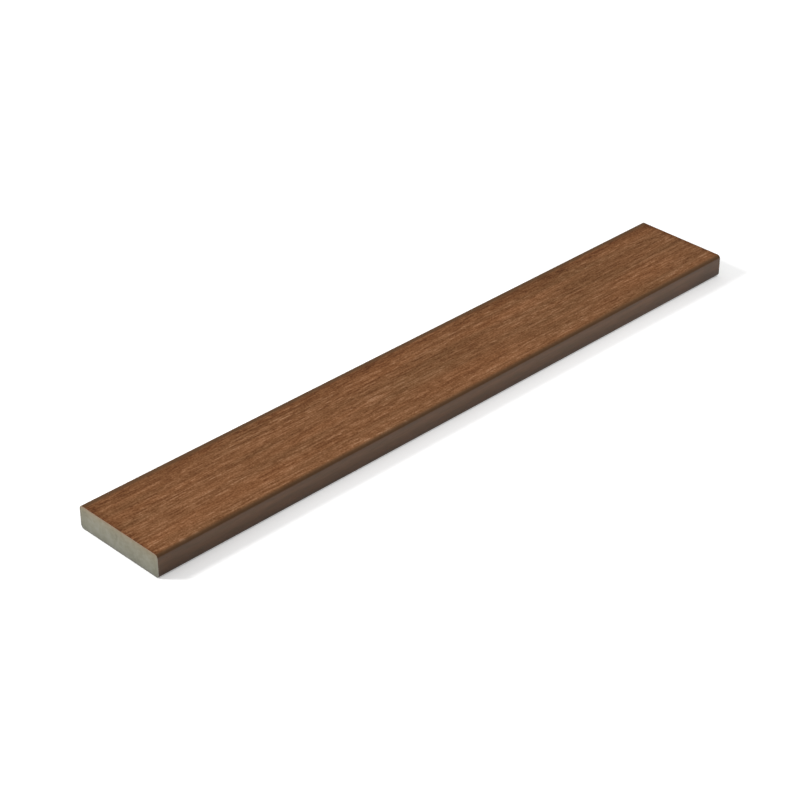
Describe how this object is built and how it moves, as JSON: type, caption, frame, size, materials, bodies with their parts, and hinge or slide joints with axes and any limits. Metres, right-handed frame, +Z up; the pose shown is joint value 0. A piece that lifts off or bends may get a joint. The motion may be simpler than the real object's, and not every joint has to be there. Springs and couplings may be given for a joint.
{
  "type": "composite screening board",
  "caption": "Straight length of capped composite board with eased long edges, a brushed wood-grain face and bare sawn ends, for slatted screens and fences.",
  "frame": {"origin": "middle of the back face, which lies on the floor", "axes": "+X along the board's length, +Y across its width, +Z up from the back face to the brushed face"},
  "size_m": [0.496, 0.07, 0.016],
  "materials": {
    "core": "matte",
    "cap": "matte"
  },
  "bodies": {
    "root": {"core": "core", "cap": "cap"}
  },
  "joints": []
}
